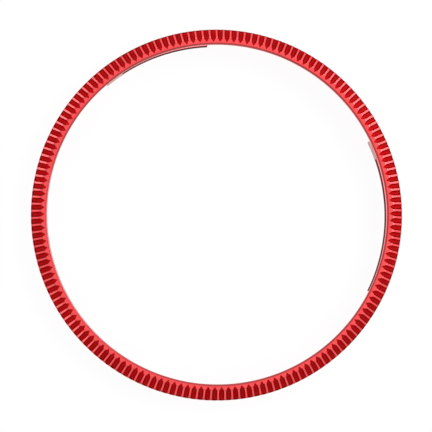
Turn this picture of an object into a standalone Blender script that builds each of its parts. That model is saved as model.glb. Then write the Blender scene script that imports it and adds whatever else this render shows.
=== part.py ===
"""A fluted trim ring that slips over a round knob and is held by three strips of double-sided tape.

The ring lies on its flat back, with its axis on Z and its fluted front up. Each strip of tape sits in the
recess behind the front lip. A release liner covers the tape, and a pull tab at one end of the liner is there
for the fingers. The liner and its tab peel away about the liner's plain end. Lengths are in metres.
"""

import math

import bmesh
import bpy
from mathutils import Vector

# Ring section, from the bore outwards
LIP_BORE_RADIUS = 0.0457
LIP_CHAMFER_WIDTH = 0.0005
LIP_CHAMFER_DROP = 0.00035
LIP_THICKNESS = 0.0012
FACE_WIDTH = 0.0014
BEVEL_WIDTH = 0.0024
BEVEL_ANGLE = math.radians(40.0)
SKIRT_FLARE = 0.00008
SKIRT_FLARE_HEIGHT = 0.0012
RING_HEIGHT = 0.0088
BACK_EDGE_BREAK = 0.0003

# V-flutes milled along the bevel, which run out on the front face and through the outer wall
FLUTE_WIDTH = 0.00138
FLUTE_DEPTH = 0.0008
FLUTE_FLOOR_WIDTH = 0.00016
LAND_WIDTH = 0.00051
FIRST_FLUTE_ANGLE = math.radians(0.156)
CUTTER_OVERRUN = 0.0004

# Tape strips, their liners and their pull tabs
TAPE_WIDTH = 0.0030
TAPE_THICKNESS = 0.0008
TAPE_BACK_SETBACK = 0.0010
LINER_THICKNESS = 0.00012
TAB_THICKNESS = 0.00008
TAB_LENGTH = 0.0052
TAB_WIDTH = 0.0049
TAB_OVERHANG = 0.0014
TAB_LIP_CLEARANCE = 0.00002
TAB_DROP_BELOW_LIP = 0.0011
BOND_GAP = 0.00005
UPPER_STRIP_LENGTH = 0.0285
RIGHT_STRIP_LENGTH = 0.0406
LOWER_STRIP_LENGTH = 0.0320
UPPER_TAB_TIP_ANGLE = math.radians(130.3)
RIGHT_TAB_TIP_ANGLE = math.radians(25.8)
LOWER_TAB_TIP_ANGLE = math.radians(252.0)
FILM_FACET_ANGLE = math.radians(2.25)

SMOOTH_ANGLE = math.radians(12.0)

# Radii and heights worked out from the section
FACE_INNER_RADIUS = LIP_BORE_RADIUS + LIP_CHAMFER_WIDTH
BEVEL_TOP_RADIUS = FACE_INNER_RADIUS + FACE_WIDTH
BEVEL_END_RADIUS = BEVEL_TOP_RADIUS + BEVEL_WIDTH
RING_OUTER_RADIUS = BEVEL_END_RADIUS + SKIRT_FLARE
BEVEL_DROP = BEVEL_WIDTH * math.tan(BEVEL_ANGLE)
TAB_INNER_RADIUS = LIP_BORE_RADIUS + TAB_LIP_CLEARANCE
TAB_OUTER_RADIUS = TAB_INNER_RADIUS + TAB_THICKNESS
LINER_INNER_RADIUS = TAB_OUTER_RADIUS + BOND_GAP
LINER_OUTER_RADIUS = LINER_INNER_RADIUS + LINER_THICKNESS
TAPE_INNER_RADIUS = LINER_OUTER_RADIUS + BOND_GAP
TAPE_OUTER_RADIUS = TAPE_INNER_RADIUS + TAPE_THICKNESS
RECESS_RADIUS = TAPE_OUTER_RADIUS + BOND_GAP
TAB_TOP = RING_HEIGHT - LIP_THICKNESS - TAB_DROP_BELOW_LIP

# As many whole flutes as fit round the middle of the bevel
BEVEL_MID_RADIUS = BEVEL_TOP_RADIUS + BEVEL_WIDTH / 2
FLUTE_COUNT = round(math.tau * BEVEL_MID_RADIUS / (FLUTE_WIDTH + LAND_WIDTH))
FLUTE_PITCH_ANGLE = math.tau / FLUTE_COUNT


def clear_scene():
    for obj in list(bpy.data.objects):
        bpy.data.objects.remove(obj, do_unlink=True)


def add_material(name, colour, roughness, metallic=0.0):
    material = bpy.data.materials.new(name)
    material.use_nodes = True
    shader = material.node_tree.nodes["Principled BSDF"]
    shader.inputs["Base Color"].default_value = (*colour, 1.0)
    shader.inputs["Roughness"].default_value = roughness
    shader.inputs["Metallic"].default_value = metallic
    material.diffuse_color = (*colour, 1.0)
    return material


def add_object(name, mesh, material=None):
    obj = bpy.data.objects.new(name, mesh)
    bpy.context.scene.collection.objects.link(obj)
    if material:
        mesh.materials.append(material)
    return obj


def shade_round(mesh):
    mesh.shade_smooth()
    mesh.set_sharp_from_angle(angle=SMOOTH_ANGLE)


def ring_section():
    """(radius, height) round the section, down the outer side first."""
    lip_underside = RING_HEIGHT - LIP_THICKNESS
    bevel_end = RING_HEIGHT - BEVEL_DROP
    return [
        (BEVEL_TOP_RADIUS, RING_HEIGHT),
        (BEVEL_END_RADIUS, bevel_end),
        (RING_OUTER_RADIUS, bevel_end - SKIRT_FLARE_HEIGHT),
        (RING_OUTER_RADIUS, BACK_EDGE_BREAK),
        (RING_OUTER_RADIUS - BACK_EDGE_BREAK, 0.0),
        (RECESS_RADIUS + BACK_EDGE_BREAK, 0.0),
        (RECESS_RADIUS, BACK_EDGE_BREAK),
        (RECESS_RADIUS, lip_underside),
        (LIP_BORE_RADIUS, lip_underside),
        (LIP_BORE_RADIUS, RING_HEIGHT - LIP_CHAMFER_DROP),
        (FACE_INNER_RADIUS, RING_HEIGHT),
    ]


def turned_blank():
    """The ring before its flutes are cut, with one facet from land to land."""
    land_angle = FIRST_FLUTE_ANGLE + FLUTE_PITCH_ANGLE / 2
    points = [
        (radius * math.cos(land_angle), radius * math.sin(land_angle), height)
        for radius, height in ring_section()
    ]
    edges = [(i, (i + 1) % len(points)) for i in range(len(points))]
    mesh = bpy.data.meshes.new("ring_section")
    mesh.from_pydata(points, edges, [])
    blank = add_object("ring_blank", mesh)
    screw = blank.modifiers.new("turn", "SCREW")
    screw.axis = "Z"
    screw.angle = math.tau
    screw.steps = FLUTE_COUNT
    screw.render_steps = FLUTE_COUNT
    screw.use_merge_vertices = True
    screw.merge_threshold = 0.00001
    return blank


def add_flute_prism(bm, angle):
    """One V-shaped prism along the bevel, from above the front face to past the outer wall."""
    outwards = Vector((math.cos(angle), math.sin(angle), 0.0))
    across = Vector((-math.sin(angle), math.cos(angle), 0.0))
    up = Vector((0.0, 0.0, 1.0))
    along = outwards * math.cos(BEVEL_ANGLE) - up * math.sin(BEVEL_ANGLE)
    normal = outwards * math.sin(BEVEL_ANGLE) + up * math.cos(BEVEL_ANGLE)
    bevel_top = outwards * BEVEL_TOP_RADIUS + up * RING_HEIGHT
    start = -FLUTE_DEPTH / math.tan(BEVEL_ANGLE) - CUTTER_OVERRUN
    run_out = FLUTE_DEPTH * math.tan(BEVEL_ANGLE)
    end = (BEVEL_WIDTH + SKIRT_FLARE) / math.cos(BEVEL_ANGLE) + run_out + CUTTER_OVERRUN
    section = [
        (-FLUTE_WIDTH / 2, CUTTER_OVERRUN),
        (-FLUTE_WIDTH / 2, 0.0),
        (-FLUTE_FLOOR_WIDTH / 2, -FLUTE_DEPTH),
        (FLUTE_FLOOR_WIDTH / 2, -FLUTE_DEPTH),
        (FLUTE_WIDTH / 2, 0.0),
        (FLUTE_WIDTH / 2, CUTTER_OVERRUN),
    ]
    loops = []
    for distance in (start, end):
        origin = bevel_top + along * distance
        loops.append([bm.verts.new(origin + across * s + normal * h) for s, h in section])
    inner, outer = loops
    for i in range(len(section)):
        j = (i + 1) % len(section)
        bm.faces.new((inner[i], inner[j], outer[j], outer[i]))
    bm.faces.new(inner)
    bm.faces.new(outer)


def flute_cutter():
    bm = bmesh.new()
    for i in range(FLUTE_COUNT):
        add_flute_prism(bm, FIRST_FLUTE_ANGLE + i * FLUTE_PITCH_ANGLE)
    bmesh.ops.recalc_face_normals(bm, faces=bm.faces)
    mesh = bpy.data.meshes.new("flute_cutter")
    bm.to_mesh(mesh)
    bm.free()
    return add_object("flute_cutter", mesh)


def make_ring_body(material):
    """The turned blank with every flute cut from it, as one plain mesh."""
    blank = turned_blank()
    cutter = flute_cutter()
    cut = blank.modifiers.new("flutes", "BOOLEAN")
    cut.operation = "DIFFERENCE"
    cut.solver = "EXACT"
    cut.object = cutter
    graph = bpy.context.evaluated_depsgraph_get()
    mesh = bpy.data.meshes.new_from_object(blank.evaluated_get(graph))
    mesh.name = "ring_body"
    mesh.materials.clear()
    shade_round(mesh)
    bpy.data.objects.remove(blank, do_unlink=True)
    bpy.data.objects.remove(cutter, do_unlink=True)
    return add_object("ring_body", mesh, material)


def arc_band_mesh(name, inner_radius, outer_radius, start_angle, end_angle, low, high):
    """A closed band of film or tape, bent round the ring's axis."""
    corners = [(inner_radius, low), (outer_radius, low), (outer_radius, high), (inner_radius, high)]
    count = math.ceil((end_angle - start_angle) / FILM_FACET_ANGLE)
    bm = bmesh.new()
    loops = []
    for i in range(count + 1):
        angle = start_angle + (end_angle - start_angle) * i / count
        cosine = math.cos(angle)
        sine = math.sin(angle)
        loops.append([bm.verts.new((r * cosine, r * sine, z)) for r, z in corners])
    for before, after in zip(loops, loops[1:]):
        for i in range(len(corners)):
            j = (i + 1) % len(corners)
            bm.faces.new((before[i], before[j], after[j], after[i]))
    bm.faces.new(loops[0])
    bm.faces.new(loops[-1])
    bmesh.ops.recalc_face_normals(bm, faces=bm.faces)
    mesh = bpy.data.meshes.new(name)
    bm.to_mesh(mesh)
    bm.free()
    shade_round(mesh)
    return mesh


def add_peel_pivot(side, angle):
    """An empty on the line about which the liner peels: its outer face, at its plain end."""
    pivot = bpy.data.objects.new(f"{side}_peel_pivot", None)
    pivot.empty_display_size = TAPE_WIDTH
    pivot.location = (LINER_OUTER_RADIUS * math.cos(angle), LINER_OUTER_RADIUS * math.sin(angle), 0.0)
    bpy.context.scene.collection.objects.link(pivot)
    return pivot


def make_strip(side, tab_tip_angle, strip_length, tape_material, liner_material, tab_material):
    """One strip of tape in the recess, with its liner and pull tab hung from the peel pivot."""
    tape_end = tab_tip_angle - TAB_OVERHANG / TAB_INNER_RADIUS
    tape_start = tape_end - strip_length / TAPE_INNER_RADIUS
    tab_start = tab_tip_angle - TAB_LENGTH / TAB_INNER_RADIUS
    tape = f"{side}_adhesive_strip"
    liner = f"{side}_release_liner"
    tab = f"{side}_pull_tab"
    strip = (tape_start, tape_end, TAPE_BACK_SETBACK, TAPE_BACK_SETBACK + TAPE_WIDTH)
    tape_mesh = arc_band_mesh(tape, TAPE_INNER_RADIUS, TAPE_OUTER_RADIUS, *strip)
    liner_mesh = arc_band_mesh(liner, LINER_INNER_RADIUS, LINER_OUTER_RADIUS, *strip)
    tab_mesh = arc_band_mesh(
        tab, TAB_INNER_RADIUS, TAB_OUTER_RADIUS, tab_start, tab_tip_angle, TAB_TOP - TAB_WIDTH, TAB_TOP)
    add_object(tape, tape_mesh, tape_material)
    pivot = add_peel_pivot(side, tape_start)
    for name, mesh, material in ((liner, liner_mesh, liner_material), (tab, tab_mesh, tab_material)):
        film = add_object(name, mesh, material)
        film.parent = pivot
        film.location = -pivot.location


def main():
    clear_scene()
    make_ring_body(add_material("red_anodised_aluminium", (0.78, 0.035, 0.045), 0.3, 1.0))
    tape = add_material("clear_acrylic_tape", (0.82, 0.60, 0.57), 0.45)
    liner = add_material("dark_red_liner_film", (0.12, 0.008, 0.008), 0.35)
    tab = add_material("frosted_tab_film", (0.50, 0.38, 0.35), 0.55)
    make_strip("upper", UPPER_TAB_TIP_ANGLE, UPPER_STRIP_LENGTH, tape, liner, tab)
    make_strip("right", RIGHT_TAB_TIP_ANGLE, RIGHT_STRIP_LENGTH, tape, liner, tab)
    make_strip("lower", LOWER_TAB_TIP_ANGLE, LOWER_STRIP_LENGTH, tape, liner, tab)


main()
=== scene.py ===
import math

import bmesh
import bpy
from mathutils import Matrix, Vector


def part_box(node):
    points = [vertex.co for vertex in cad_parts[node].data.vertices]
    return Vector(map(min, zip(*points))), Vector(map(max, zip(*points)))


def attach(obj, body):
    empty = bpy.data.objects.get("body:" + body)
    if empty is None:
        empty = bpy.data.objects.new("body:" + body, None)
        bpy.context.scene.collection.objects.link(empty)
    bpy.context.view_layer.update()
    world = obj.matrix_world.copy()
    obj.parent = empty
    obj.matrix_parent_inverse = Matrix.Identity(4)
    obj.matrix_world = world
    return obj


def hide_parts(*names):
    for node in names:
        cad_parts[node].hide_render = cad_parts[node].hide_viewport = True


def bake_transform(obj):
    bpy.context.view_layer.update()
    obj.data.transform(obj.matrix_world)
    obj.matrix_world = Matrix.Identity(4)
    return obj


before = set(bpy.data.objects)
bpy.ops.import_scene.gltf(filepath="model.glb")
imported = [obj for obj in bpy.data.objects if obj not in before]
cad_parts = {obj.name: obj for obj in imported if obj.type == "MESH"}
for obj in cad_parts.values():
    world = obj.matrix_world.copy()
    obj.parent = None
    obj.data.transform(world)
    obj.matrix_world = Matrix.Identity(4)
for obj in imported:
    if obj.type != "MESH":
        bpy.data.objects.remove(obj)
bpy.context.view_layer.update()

mm = 0.001
usualNoise = (0.3, 0.7)           # nearly all values of a noise texture lie between these
reliefDepth = 0.02 * mm


# Small helpers

def linearColour(hexText):
    parts = [int(hexText[i:i + 2], 16) / 255 for i in (1, 3, 5)]
    return [c / 12.92 if c <= 0.04045 else ((c + 0.055) / 1.055) ** 2.4 for c in parts] + [1.0]


def addNode(tree, kind, settings=None, inputs=None):
    # inputs are keyed by name or number, and each is a socket to link or a plain value
    node = tree.nodes.new(kind)
    for name, value in (settings or {}).items():
        setattr(node, name, value)
    for key, value in (inputs or {}).items():
        if isinstance(value, bpy.types.NodeSocket):
            tree.links.new(value, node.inputs[key])
        else:
            node.inputs[key].default_value = value
    return node


def calculate(tree, operation, *values):
    node = addNode(tree, "ShaderNodeMath", {"operation": operation}, dict(enumerate(values)))
    return node.outputs[0]


def spreadNoise(tree, noise, low, high):
    # stretches the usual values of a noise to run from low to high
    node = addNode(tree, "ShaderNodeMapRange", None, {
        "Value": noise, "From Min": usualNoise[0], "From Max": usualNoise[1], "To Min": low, "To Max": high})
    return node.outputs[0]


def objectPlace(tree):
    return addNode(tree, "ShaderNodeTexCoord").outputs["Object"]


def newObject(name, data):
    obj = bpy.data.objects.new(name, data)
    bpy.context.scene.collection.objects.link(obj)
    return obj


def meshFromBmesh(name, bm):
    mesh = bpy.data.meshes.new(name)
    bm.to_mesh(mesh)
    bm.free()
    return mesh


def newTree(name, inputs):
    tree = bpy.data.node_groups.new(name, "GeometryNodeTree")
    for label, kind in inputs:
        tree.interface.new_socket(label, in_out="INPUT", socket_type="NodeSocket" + kind)
    tree.interface.new_socket("Geometry", in_out="OUTPUT", socket_type="NodeSocketGeometry")
    return tree


def growFromTree(obj, tree, values):
    # sets the tree's inputs by identifier, then keeps the result as a plain mesh without the modifier
    modifier = obj.modifiers.new(tree.name, "NODES")
    modifier.node_group = tree
    for item in tree.interface.items_tree:
        if item.in_out == "INPUT" and item.name in values:
            modifier[item.identifier] = values[item.name]
    bpy.context.view_layer.update()
    graph = bpy.context.evaluated_depsgraph_get()
    mesh = bpy.data.meshes.new_from_object(obj.evaluated_get(graph))
    mesh.name = obj.name
    obj.modifiers.remove(modifier)
    obj.data = mesh


def newMaterial(name, values):
    material = bpy.data.materials.new(name)
    material.use_nodes = True
    shader = material.node_tree.nodes["Principled BSDF"]
    for key, value in values.items():
        shader.inputs[key].default_value = value
    return material, material.node_tree, shader


def wireFinish(tree, shader, colour, rough, height, strength):
    # colour, roughness and a shallow relief
    relief = addNode(tree, "ShaderNodeBump", None, {
        "Strength": strength, "Distance": reliefDepth, "Height": height})
    for name, socket in (("Base Color", colour), ("Roughness", rough), ("Normal", relief.outputs[0])):
        tree.links.new(socket, shader.inputs[name])


# Ring: one flute and the land round it, repeated about the axis

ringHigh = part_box("ring_body")[1]
ring = {
    "outerRadius": ringHigh.y,
    "height": ringHigh.z,
    "bevelTopRadius": 47.6 * mm,
    "bevelEndRadius": 50.0 * mm,
    "bevelAngle": math.radians(40.0),
    "bevelRound": 0.4 * mm,
    "flareHeight": 1.2 * mm,      # below the bevel, the wall flares out to the outer radius over this height
    "lipBoreRadius": 45.7 * mm,
    "lipRoundWidth": 0.5 * mm,
    "lipRoundDrop": 0.35 * mm,
    "lipThickness": 1.2 * mm,
    "recessRadius": 46.87 * mm,
    "edgeBreak": 0.3 * mm,
    "edgeSoftness": 0.02 * mm,
    "rimSoftness": 0.2 * mm,
    "fluteCount": 162,
    "fluteWidth": 1.38 * mm,
    "fluteDepth": 0.8 * mm,
    "fluteBulge": 0.2,            # 0 is a straight V, 1 a full pointed arch
    "fluteArch": 2.0,             # radius of the arch's sides, in half widths of the flute
    "fluteFloorRound": 0.06 * mm,
    "firstFluteAngle": math.radians(0.156),
    "runOutLength": 0.45 * mm,
    "runOutDepth": 0.8,           # share of a flute's depth that is left where the cutter lifts out
    # painted shade, from 0 to 1, darkening the red towards the deep red: on the flutes' sides, at the outer
    # edge, on the lip's edge and along the tool's marks
    "fluteSideShade": 0.88,
    "endShade": 0.7,
    "lipShade": 0.82,
    "grooveShade": 0.1,
    "wallStations": 5,
    "roundSteps": 4,
    "mergeDistance": 0.001 * mm,
    "smoothAngle": math.radians(20.0),
    "turnedRed": "#f63a3f",
    "turnedEdgeRed": "#f08080",
    "turnedRoughness": (0.34, 0.46),
    "turnedRelief": 0.12,
    "turnedClouds": 0.05,
    "turningFeed": 0.6 * mm,      # real marks are about 0.05 mm apart, drawn coarser so that they show
    "turningShare": 0.5,          # of the turning marks in the relief, beside the blasted grain
    "blastGrain": 0.16 * mm,      # real grain is about 0.03 mm, drawn coarser too
    "oxideRoughness": 0.2,
    "oxideIor": 1.62,
    # a little darker than the turned red: painted shade in the flutes
    "milledShadedRed": "#e0363a",
    "milledEdgeRed": "#b03034",
    "milledRoughness": (0.4, 0.52),
    "milledRelief": 0.1,
    "milledClouds": 0.06,
    "cutterMarks": 0.2 * mm,      # real marks are about 0.04 mm apart, drawn coarser too
    # the red that painted shade and the dye's random clouds darken towards
    "deepShadeAndDyeRed": "#8c0608",
    "dyeCloud": 14.0 * mm,
}


def dyeCloudAndShadeRed(tree, plainRed, cloudiness, marks):
    # painted shade where the shade attribute says so and along the tool's marks; the dye is also a little
    # uneven
    cloud = addNode(tree, "ShaderNodeTexNoise", None, {
        "Vector": objectPlace(tree), "Scale": 1 / ring["dyeCloud"], "Detail": 3.0})
    drift = spreadNoise(tree, cloud.outputs["Fac"], -cloudiness, cloudiness)
    # painted shade along the tool's marks
    grooves = spreadNoise(tree, marks, -ring["grooveShade"], ring["grooveShade"])
    # painted shade held in the mesh's shade attribute
    shade = addNode(tree, "ShaderNodeAttribute", {"attribute_name": "shade"})
    depth = addNode(tree, "ShaderNodeMath", {"operation": "ADD", "use_clamp": True},
                    {0: shade.outputs["Fac"], 1: calculate(tree, "ADD", drift, grooves)})
    mixed = addNode(tree, "ShaderNodeMix", {"data_type": "RGBA"}, {
        0: depth.outputs[0], 6: linearColour(plainRed), 7: linearColour(ring["deepShadeAndDyeRed"])})
    return mixed.outputs[2]


def makeTurnedAluminium():
    # aluminium, turned, blasted and anodised red: a bright satin metal with faint rings, under a clear oxide
    material, tree, shader = newMaterial("turned_anodised_aluminium", {
        "Metallic": 1.0,
        "Specular Tint": linearColour(ring["turnedEdgeRed"]),
        "Coat Weight": 1.0,
        "Coat Roughness": ring["oxideRoughness"],
        "Coat IOR": ring["oxideIor"],
    })
    place = objectPlace(tree)
    flat = addNode(tree, "ShaderNodeVectorMath", {"operation": "MULTIPLY"}, {0: place, 1: (1.0, 1.0, 0.0)})
    radius = addNode(tree, "ShaderNodeVectorMath", {"operation": "LENGTH"}, {0: flat.outputs[0]})
    height = addNode(tree, "ShaderNodeSeparateXYZ", None, {0: place})
    travel = calculate(tree, "SUBTRACT", radius.outputs["Value"], height.outputs["Z"])
    marks = addNode(tree, "ShaderNodeTexNoise", {"noise_dimensions": "1D"}, {
        "W": travel, "Scale": 1 / ring["turningFeed"], "Detail": 3.0}).outputs["Fac"]
    grain = addNode(tree, "ShaderNodeTexNoise", None, {
        "Vector": place, "Scale": 1 / ring["blastGrain"], "Detail": 2.0}).outputs["Fac"]
    red = dyeCloudAndShadeRed(tree, ring["turnedRed"], ring["turnedClouds"], marks)
    rough = spreadNoise(tree, grain, *ring["turnedRoughness"])
    both = calculate(tree, "MULTIPLY_ADD", marks, ring["turningShare"], grain)
    wireFinish(tree, shader, red, rough, both, ring["turnedRelief"])
    return material


def makeMilledAluminium():
    # the same metal where it was milled: light goes from wall to wall of a flute and comes out deep red
    # its base red is a little darker than the turned red: painted shade in the flutes
    material, tree, shader = newMaterial("milled_anodised_aluminium", {
        "Metallic": 1.0,
        "Specular Tint": linearColour(ring["milledEdgeRed"]),
    })
    height = addNode(tree, "ShaderNodeSeparateXYZ", None, {0: objectPlace(tree)})
    marks = addNode(tree, "ShaderNodeTexNoise", {"noise_dimensions": "1D"}, {
        "W": height.outputs["Z"], "Scale": 1 / ring["cutterMarks"], "Detail": 2.0}).outputs["Fac"]
    red = dyeCloudAndShadeRed(tree, ring["milledShadedRed"], ring["milledClouds"], marks)
    rough = spreadNoise(tree, marks, *ring["milledRoughness"])
    wireFinish(tree, shader, red, rough, marks, ring["milledRelief"])
    return material


def fluteShare(across):
    # 0 in the middle of a flute and 1 at its edge, eased over the rounded floor
    floor = ring["fluteFloorRound"]
    half = ring["fluteWidth"] / 2
    return min((math.hypot(across, floor) - floor) / (math.hypot(half, floor) - floor), 1.0)


def fluteDepthAt(across):
    # depth below the bevel: part of the way from a V to a pointed arch, upside down
    straight = 1 - fluteShare(across)
    radius = ring["fluteArch"]
    arch = math.sqrt((radius ** 2 - (radius - straight) ** 2) / (radius ** 2 - (radius - 1) ** 2))
    return ring["fluteDepth"] * (straight + (arch - straight) * ring["fluteBulge"])


def fluteStations():
    # (distance across, depth) from one land to the next
    half = ring["fluteWidth"] / 2
    soft = ring["edgeSoftness"]
    count = ring["wallStations"]
    inside = [(half - soft) * math.sin(math.pi / 2 * i / count) for i in range(count + 1)]
    side = [(y, fluteDepthAt(y)) for y in inside] + [(half + soft, 0.0)]
    return [(-y, depth) for y, depth in reversed(side[1:])] + side


def bevelRows(depth):
    # (radius, height) from the face, over its rounded edge, down a flute or a land, to the outer wall
    angle = ring["bevelAngle"]
    cosine = math.cos(angle)
    sine = math.sin(angle)
    top = ring["height"]
    end = ring["bevelEndRadius"]
    flare = (ring["outerRadius"] - end) / ring["flareHeight"]
    bend = ring["bevelRound"] / math.tan(angle / 2)
    start = ring["bevelTopRadius"] - max(ring["bevelRound"], depth / sine)
    turn = angle - math.acos(max(1 - depth / bend, cosine))
    landExit = top - (end - ring["bevelTopRadius"]) * sine / cosine
    fullDrop = depth / cosine / (1 - flare * sine / cosine)
    realDrop = fullDrop * ring["runOutDepth"]
    run = ring["runOutLength"]
    rim = ring["rimSoftness"]
    rows = []
    for i in range(ring["roundSteps"] + 1):
        part = turn * i / ring["roundSteps"]
        rows.append((start + bend * math.sin(part), top - bend * (1 - math.cos(part))))
    rows.append((end + flare * fullDrop - run * cosine, landExit - fullDrop + run * sine))
    rows.append((end + flare * realDrop - rim * cosine, landExit - realDrop + rim * sine))
    rows.append((end + flare * (realDrop + rim), landExit - realDrop - rim))
    return rows


def roundedCorner(before, corner, after, steps):
    # points on a smooth turn from one place to another, round a corner
    points = []
    for i in range(steps + 1):
        t = i / steps
        first, second, third = (1 - t) ** 2, 2 * t * (1 - t), t ** 2
        points.append([a * first + b * second + c * third for a, b, c in zip(before, corner, after)])
    return points


def bodyRows():
    # (radius, height) of the outer wall, the back and the recess
    outer = ring["outerRadius"]
    recess = ring["recessRadius"]
    edge = ring["edgeBreak"]
    steps = ring["roundSteps"]
    underLip = ring["height"] - ring["lipThickness"]
    fluteExit = bevelRows(ring["fluteDepth"])[-1][1]
    rows = [(outer, fluteExit - edge)]
    rows += roundedCorner((outer, edge), (outer, 0.0), (outer - edge, 0.0), steps)
    rows += roundedCorner((recess + edge, 0.0), (recess, 0.0), (recess, edge), steps)
    rows += roundedCorner((recess, underLip - edge), (recess, underLip), (recess - edge, underLip), steps)
    return rows


def lipRows():
    # (radius, height) round the lip: two at its underside, then its rounded edge, up to the face
    top = ring["height"]
    bore = ring["lipBoreRadius"]
    soft = ring["edgeSoftness"]
    underLip = top - ring["lipThickness"]
    before = (bore, top - ring["lipRoundDrop"])
    after = (bore + ring["lipRoundWidth"], top)
    rounded = roundedCorner(before, (bore, top), after, 2 * ring["roundSteps"])
    return [(bore + soft, underLip), (bore, underLip + soft)] + rounded


def makeFluteSector():
    pitch = math.tau / ring["fluteCount"]
    bm = bmesh.new()
    milled = bm.faces.layers.bool.new("milled")
    # the shade layer holds painted shade at each face corner
    shade = bm.loops.layers.float.new("shade")

    def addPoint(radius, angle, height):
        return bm.verts.new((radius * math.cos(angle), radius * math.sin(angle), height))

    def addFace(points, shades):
        face = bm.faces.new(points)
        for loop, value in zip(face.loops, shades):
            loop[shade] = value
        return face

    stations = [(None, 0.0), *fluteStations(), (None, 0.0)]
    # painted shade on the flutes' sides, rising from the middle of a flute to its edge
    sideShades = [ring["fluteSideShade"] * fluteShare(across or 0.0) for across, depth in stations]
    columns = []
    for i, (across, depth) in enumerate(stations):
        landAngle = -pitch / 2 if i == 0 else pitch / 2
        column = []
        for radius, height in bevelRows(depth):
            angle = landAngle if across is None else math.asin(across / radius)
            column.append(addPoint(radius, angle, height))
        columns.append(column)
    edgeRow = ring["roundSteps"]
    # painted shade on the outer ends of flutes and lands, at the outer edge
    ends = [ring["endShade"]] * 4
    for i in range(len(columns) - 1):
        inFlute = stations[i][1] + stations[i + 1][1] > 0
        left, right = sideShades[i:i + 2] if inFlute else (0.0, 0.0)
        for j in range(len(columns[i]) - 1):
            points = (columns[i][j], columns[i][j + 1], columns[i + 1][j + 1], columns[i + 1][j])
            face = addFace(points, (left, left, right, right) if j <= edgeRow else ends)
            face[milled] = inFlute and j >= edgeRow

    body = []
    for radius, height in bodyRows() + lipRows():
        body.append([addPoint(radius, angle, height) for angle in (-pitch / 2, 0.0, pitch / 2)])
    roundStart = len(bodyRows()) + 2
    for j in range(len(body) - 1):
        # painted shade on the lip's rounded edge
        shades = [ring["lipShade"] if j >= roundStart else 0.0] * 4
        for i in range(2):
            addFace((body[j][i], body[j + 1][i], body[j + 1][i + 1], body[j][i + 1]), shades)
    middle = len(columns) // 2
    for i, part in enumerate((columns[:middle + 1], columns[middle:])):
        bm.faces.new([body[0][i], body[0][i + 1], *[column[-1] for column in reversed(part)]])
        bm.faces.new([body[-1][i + 1], body[-1][i], *[column[0] for column in part]])
    bmesh.ops.recalc_face_normals(bm, faces=bm.faces)
    return meshFromBmesh("flute_sector", bm)


def ringTree():
    tree = newTree("repeat_flutes", [
        ("Sector", "Geometry"), ("Flute Count", "Int"), ("First Flute Angle", "Float"),
        ("Merge Distance", "Float"), ("Turned Finish", "Material"), ("Milled Finish", "Material")])
    given = addNode(tree, "NodeGroupInput").outputs
    spots = addNode(tree, "GeometryNodeMeshLine", None, {"Count": given["Flute Count"], "Offset": (0, 0, 0)})
    index = addNode(tree, "GeometryNodeInputIndex").outputs[0]
    pitch = calculate(tree, "DIVIDE", math.tau, given["Flute Count"])
    turn = calculate(tree, "MULTIPLY_ADD", index, pitch, given["First Flute Angle"])
    spin = addNode(tree, "ShaderNodeCombineXYZ", None, {"Z": turn})
    copies = addNode(tree, "GeometryNodeInstanceOnPoints", None, {
        "Points": spots.outputs[0], "Instance": given["Sector"], "Rotation": spin.outputs[0]})
    real = addNode(tree, "GeometryNodeRealizeInstances", None, {0: copies.outputs[0]})
    merged = addNode(tree, "GeometryNodeMergeByDistance", None, {
        "Geometry": real.outputs[0], "Distance": given["Merge Distance"]})
    smooth = addNode(tree, "GeometryNodeSetShadeSmooth", None, {0: merged.outputs[0]})
    turned = addNode(tree, "GeometryNodeSetMaterial", None, {
        "Geometry": smooth.outputs[0], "Material": given["Turned Finish"]})
    milled = addNode(tree, "GeometryNodeInputNamedAttribute", {"data_type": "BOOLEAN"}, {"Name": "milled"})
    both = addNode(tree, "GeometryNodeSetMaterial", None, {
        "Geometry": turned.outputs[0], "Selection": milled.outputs[0], "Material": given["Milled Finish"]})
    addNode(tree, "NodeGroupOutput", None, {0: both.outputs[0]})
    return tree


def makeRing():
    turned = makeTurnedAluminium()
    sector = makeFluteSector()
    sector.materials.append(turned)
    obj = newObject("fluted_ring", sector)
    growFromTree(obj, ringTree(), {
        "Flute Count": ring["fluteCount"],
        "First Flute Angle": ring["firstFluteAngle"],
        "Merge Distance": ring["mergeDistance"],
        "Turned Finish": turned,
        "Milled Finish": makeMilledAluminium(),
    })
    obj.data.set_sharp_from_angle(angle=ring["smoothAngle"])
    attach(obj, "ring")
    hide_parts("ring_body")
    print("ring:", len(obj.data.polygons), "faces")


# Strips: tape in the recess, its liner and the pull tab

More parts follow.
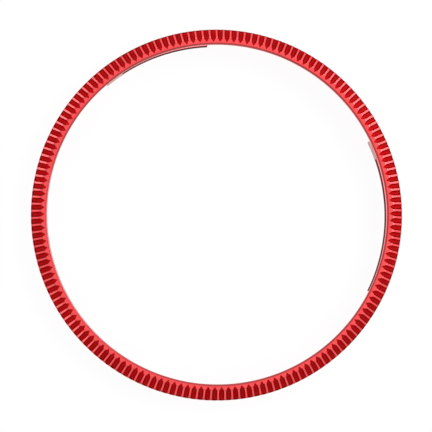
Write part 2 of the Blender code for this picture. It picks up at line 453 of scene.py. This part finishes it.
strips = {
    "tapeThickness": 0.8 * mm,
    "tapeEdge": 0.1 * mm,
    "linerThickness": 0.12 * mm,
    "linerEdge": 0.03 * mm,
    "edgeSteps": 3,
    "tabThickness": 0.08 * mm,
    "tabLength": 5.2 * mm,
    "tabOverhang": 1.4 * mm,
    "tabCorner": 0.9 * mm,
    "tabFacets": 8,               # along its straight part, and as many round its corners
    "tabClearance": 0.02 * mm,
    "bondGap": 0.05 * mm,
    "lengths": {"upper": 28.5 * mm, "right": 40.6 * mm, "lower": 32.0 * mm},
    "tabTips": {"upper": math.radians(130.3), "right": math.radians(25.8), "lower": math.radians(252.0)},
    "facetAngle": math.radians(0.75),
    "bendStart": 0.02,            # shares of the liner's length
    "bendEnd": 0.45,
    "smoothAngle": math.radians(30.0),
    "relief": 0.1,
    "tapeClear": "#ffa2a0",
    "tapeMilky": "#ff7a78",
    # painted light: strength of the tape's pale pink glow
    "tapePaintedGlow": 0.8,
    "tapeCloud": 1.2 * mm,
    "tapeRoughness": (0.35, 0.55),
    "linerThin": "#5c1013",
    "linerThick": "#440a0d",
    "linerShine": 0.1,
    "linerStreak": 0.9 * mm,      # real streaks are about 0.3 mm apart, drawn coarser so that they show
    "linerStretch": (0.15, 0.15, 1.0),
    "linerRoughness": (0.62, 0.78),
    "tabClear": "#d2b2ac",
    "tabMilky": "#bb9a94",
    "tabShine": 0.2,
    "tabFrost": 0.15 * mm,        # real frosting is about 0.02 mm, drawn coarser too
    "tabRoughness": (0.6, 0.8),
}


def mottledFilm(name, values, tones, size, roughness, stretch=(1.0, 1.0, 1.0)):
    # a plastic whose colour and gloss drift between two tones, in patches of a given size and stretch
    material, tree, shader = newMaterial(name, values)
    drawn = addNode(tree, "ShaderNodeVectorMath", {"operation": "MULTIPLY"}, {
        0: objectPlace(tree), 1: stretch})
    patches = addNode(tree, "ShaderNodeTexNoise", None, {
        "Vector": drawn.outputs[0], "Scale": 1 / size, "Detail": 2.0}).outputs["Fac"]
    share = spreadNoise(tree, patches, 0.0, 1.0)
    tone = addNode(tree, "ShaderNodeMix", {"data_type": "RGBA"}, {
        0: share, 6: linearColour(tones[0]), 7: linearColour(tones[1])})
    rough = spreadNoise(tree, patches, *roughness)
    wireFinish(tree, shader, tone.outputs[2], rough, patches, strips["relief"])
    return material


def makeAcrylicTape():
    # cast acrylic: soft and cloudy, with a painted pale pink glow: an emission, though the tape is no lamp
    glow = {"Emission Color": linearColour(strips["tapeMilky"]), "Emission Strength": strips["tapePaintedGlow"]}
    return mottledFilm("cast_acrylic_tape", glow, (strips["tapeClear"], strips["tapeMilky"]),
                       strips["tapeCloud"], strips["tapeRoughness"])


def makeLinerFilm():
    # blown polyethylene film, dyed through: dark red and dull, with streaks along the roll
    shine = {"Specular IOR Level": strips["linerShine"]}
    return mottledFilm("blown_polyethylene_liner", shine, (strips["linerThin"], strips["linerThick"]),
                       strips["linerStreak"], strips["linerRoughness"], strips["linerStretch"])


def makeTabFilm():
    # frosted polyester: a grey, milky film with a fine grain
    shine = {"Specular IOR Level": strips["tabShine"]}
    return mottledFilm("frosted_polyester_tab", shine, (strips["tabClear"], strips["tabMilky"]),
                       strips["tabFrost"], strips["tabRoughness"])


def bandTree():
    tree = newTree("bend_band", [
        ("Band", "Geometry"), ("Radius", "Float"), ("Start Angle", "Float"), ("Sweep Angle", "Float"),
        ("Facets", "Int"), ("Thickness", "Float"), ("Width", "Float"), ("Edge Radius", "Float"),
        ("Edge Steps", "Int"), ("Height", "Float"), ("Finish", "Material")])
    given = addNode(tree, "NodeGroupInput").outputs
    arc = addNode(tree, "GeometryNodeCurveArc", {"mode": "RADIUS"}, {
        "Resolution": given["Facets"], "Radius": given["Radius"], "Start Angle": given["Start Angle"],
        "Sweep Angle": given["Sweep Angle"]})
    upright = addNode(tree, "GeometryNodeSetCurveNormal", {"mode": "Z_UP"}, {"Curve": arc.outputs[0]})
    section = addNode(tree, "GeometryNodeCurvePrimitiveQuadrilateral", {"mode": "RECTANGLE"}, {
        "Width": given["Thickness"], "Height": given["Width"]})
    rounded = addNode(tree, "GeometryNodeFilletCurve", {"mode": "POLY"}, {
        "Curve": section.outputs[0], "Count": given["Edge Steps"], "Radius": given["Edge Radius"]})
    band = addNode(tree, "GeometryNodeCurveToMesh", None, {
        "Curve": upright.outputs[0], "Profile Curve": rounded.outputs[0], "Fill Caps": True})
    lift = addNode(tree, "ShaderNodeCombineXYZ", None, {"Z": given["Height"]})
    raised = addNode(tree, "GeometryNodeTransform", None, {
        "Geometry": band.outputs[0], "Translation": lift.outputs[0]})
    smooth = addNode(tree, "GeometryNodeSetShadeSmooth", None, {0: raised.outputs[0]})
    real = addNode(tree, "GeometryNodeRealizeInstances", None, {0: smooth.outputs[0]})
    done = addNode(tree, "GeometryNodeSetMaterial", None, {
        "Geometry": real.outputs[0], "Material": given["Finish"]})
    addNode(tree, "NodeGroupOutput", None, {0: done.outputs[0]})
    return tree


def makeBand(name, tree, span, inner, thickness, edge, finish):
    # tape or film, bent to a radius
    obj = newObject(name, bpy.data.meshes.new(name))
    growFromTree(obj, tree, {
        **span,
        "Facets": math.ceil(span["Sweep Angle"] / strips["facetAngle"]) + 1,
        "Radius": inner + thickness / 2,
        "Thickness": thickness,
        "Edge Radius": edge,
        "Edge Steps": strips["edgeSteps"],
        "Finish": finish,
    })
    bm = bmesh.new()
    bm.from_mesh(obj.data)
    bmesh.ops.recalc_face_normals(bm, faces=bm.faces)
    bm.to_mesh(obj.data)
    bm.free()
    obj.data.set_sharp_from_angle(angle=strips["smoothAngle"])
    return obj


def makeTab(name, inner, start, low, high, finish):
    # a film bent to the bore, with its free corners rounded off
    outer = inner + strips["tabThickness"]
    corner = strips["tabCorner"]
    straight = strips["tabLength"] - corner
    count = strips["tabFacets"]
    stations = [(straight * i / count, 0.0) for i in range(count + 1)]
    for i in range(1, count + 1):
        turn = math.pi / 2 * i / count
        stations.append((straight + corner * math.sin(turn), corner * (1 - math.cos(turn))))
    bm = bmesh.new()
    loops = []
    for along, trim in stations:
        angle = start + along / inner
        corners = ((inner, low + trim), (outer, low + trim), (outer, high - trim), (inner, high - trim))
        loops.append([bm.verts.new((r * math.cos(angle), r * math.sin(angle), z)) for r, z in corners])
    for before, after in zip(loops, loops[1:]):
        for i in range(4):
            j = (i + 1) % 4
            bm.faces.new((before[i], before[j], after[j], after[i]))
    bm.faces.new(loops[0])
    bm.faces.new(loops[-1])
    bmesh.ops.recalc_face_normals(bm, faces=bm.faces)
    obj = newObject(name, meshFromBmesh(name, bm))
    obj.data.shade_smooth()
    obj.data.set_sharp_from_angle(angle=strips["smoothAngle"])
    obj.data.materials.append(finish)
    return obj


def makeStrips():
    tapeFinish = makeAcrylicTape()
    linerFinish = makeLinerFilm()
    tabFinish = makeTabFilm()
    tree = bandTree()
    gap = strips["bondGap"]
    tabInner = ring["lipBoreRadius"] + strips["tabClearance"]
    linerInner = tabInner + strips["tabThickness"] + gap
    tapeInner = linerInner + strips["linerThickness"] + gap
    for side, length in strips["lengths"].items():
        low, high = (corner.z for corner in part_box(f"{side}_adhesive_strip"))
        tip = strips["tabTips"][side]
        end = tip - strips["tabOverhang"] / tabInner
        start = end - length / tapeInner
        span = {"Start Angle": start, "Sweep Angle": end - start}
        span.update({"Width": high - low, "Height": (low + high) / 2})
        tape = makeBand(f"{side}_tape", tree, span, tapeInner, strips["tapeThickness"],
                        strips["tapeEdge"], tapeFinish)
        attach(tape, "ring")
        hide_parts(f"{side}_adhesive_strip")
        liner = makeBand(f"{side}_liner", tree, span, linerInner, strips["linerThickness"],
                         strips["linerEdge"], linerFinish)
        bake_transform(liner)
        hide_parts(f"{side}_release_liner")
        low, high = (corner.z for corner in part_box(f"{side}_pull_tab"))
        tab = makeTab(f"{side}_tab", tabInner, tip - strips["tabLength"] / tabInner, low, high, tabFinish)
        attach(tab, f"{side}_liner")
        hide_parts(f"{side}_pull_tab")
        print(side, "strip made")


# Stage: floor, lamps, world and camera

stage = {
    "floorRadius": 4.0,
    "floorSides": 96,
    "floorDrop": 0.02 * mm,
    "floorColour": "#f4f4f4",
    "floorGlow": 0.94,            # share of plain white in what the camera and the metal see of the floor
    "worldColour": "#ffffff",
    "worldLight": 0.86,
    "lampDistance": 0.9,
}

lamps = {
    # azimuth and elevation in degrees, width and height in metres, power in watts
    "lowRight": {"azimuth": 30, "elevation": 9, "width": 0.85, "height": 0.26, "power": 1.35},
    "lowLeft": {"azimuth": 150, "elevation": 9, "width": 0.75, "height": 0.26, "power": 1.05},
    "lowFront": {"azimuth": 215, "elevation": 9, "width": 0.4, "height": 0.26, "power": 0.34},
    "midRight": {"azimuth": 0, "elevation": 30, "width": 0.5, "height": 0.4, "power": 1.1},
    "midBack": {"azimuth": 90, "elevation": 30, "width": 0.5, "height": 0.4, "power": 1.0},
    "midFront": {"azimuth": 270, "elevation": 30, "width": 0.5, "height": 0.4, "power": 0.35},
    "highRight": {"azimuth": 25, "elevation": 52, "width": 0.6, "height": 0.4, "power": 3.2},
}

camera = {
    "lens": 226.95,
    "sensor": 36.0,
    "distance": 0.731,
    "lean": 0.0747,               # how far the view leans from the ring's axis, as a slope
    "leanAngle": math.radians(227.9),
    "aim": Vector((-0.421 * mm, -0.585 * mm, 0.0)),
    "roll": math.radians(0.077),
}


def makeFloor():
    bm = bmesh.new()
    bmesh.ops.create_circle(bm, cap_ends=True, segments=stage["floorSides"], radius=stage["floorRadius"])
    obj = newObject("floor", meshFromBmesh("floor", bm))
    obj.location.z = -stage["floorDrop"]
    material = bpy.data.materials.new("matt_white_paper")
    material.use_nodes = True
    tree = material.node_tree
    tree.nodes.clear()
    path = addNode(tree, "ShaderNodeLightPath").outputs
    sharp = calculate(tree, "MAXIMUM", path["Is Glossy Ray"], path["Is Transmission Ray"])
    seen = calculate(tree, "MAXIMUM", sharp, path["Is Camera Ray"])
    share = calculate(tree, "MULTIPLY", seen, stage["floorGlow"])
    paper = addNode(tree, "ShaderNodeBsdfDiffuse", None, {"Color": linearColour(stage["floorColour"])})
    white = addNode(tree, "ShaderNodeEmission", None, {"Strength": 1.0})
    mixed = addNode(tree, "ShaderNodeMixShader", None, {0: share, 1: paper.outputs[0], 2: white.outputs[0]})
    addNode(tree, "ShaderNodeOutputMaterial", None, {"Surface": mixed.outputs[0]})
    obj.data.materials.append(material)


def makeLamps():
    for name, lamp in lamps.items():
        data = bpy.data.lights.new(name, "AREA")
        data.shape = "ELLIPSE"
        data.size = lamp["width"]
        data.size_y = lamp["height"]
        data.energy = lamp["power"]
        obj = newObject(name, data)
        azimuth = math.radians(lamp["azimuth"])
        elevation = math.radians(lamp["elevation"])
        level = math.cos(elevation)
        towards = Vector((level * math.cos(azimuth), level * math.sin(azimuth), math.sin(elevation)))
        obj.location = stage["lampDistance"] * towards
        obj.rotation_euler = (-obj.location).to_track_quat("-Z", "Y").to_euler()


def makeWorld():
    world = bpy.data.worlds.new("studio")
    bpy.context.scene.world = world
    world.use_nodes = True
    tree = world.node_tree
    seen = addNode(tree, "ShaderNodeLightPath").outputs["Is Camera Ray"]
    background = tree.nodes["Background"]
    background.inputs["Color"].default_value = linearColour(stage["worldColour"])
    tree.links.new(calculate(tree, "MAXIMUM", stage["worldLight"], seen), background.inputs["Strength"])


def makeCamera():
    data = bpy.data.cameras.new("camera")
    data.lens = camera["lens"]
    data.sensor_width = camera["sensor"]
    obj = newObject("camera", data)
    centre = Vector((0.0, 0.0, ring["height"]))
    lean = camera["lean"]
    angle = camera["leanAngle"]
    towards = Vector((lean * math.cos(angle), lean * math.sin(angle), 1.0)).normalized()
    obj.location = centre + camera["distance"] * towards
    back = (obj.location - centre - camera["aim"]).normalized()
    upright = Vector((math.sin(camera["roll"]), math.cos(camera["roll"]), 0.0))
    right = upright.cross(back).normalized()
    obj.rotation_mode = "QUATERNION"
    obj.rotation_quaternion = Matrix((right, back.cross(right), back)).transposed().to_quaternion()
    bpy.context.scene.camera = obj


makeRing()
makeStrips()
makeFloor()
makeLamps()
makeWorld()
makeCamera()
bpy.context.scene.view_settings.view_transform = "Standard"
print("stage set")
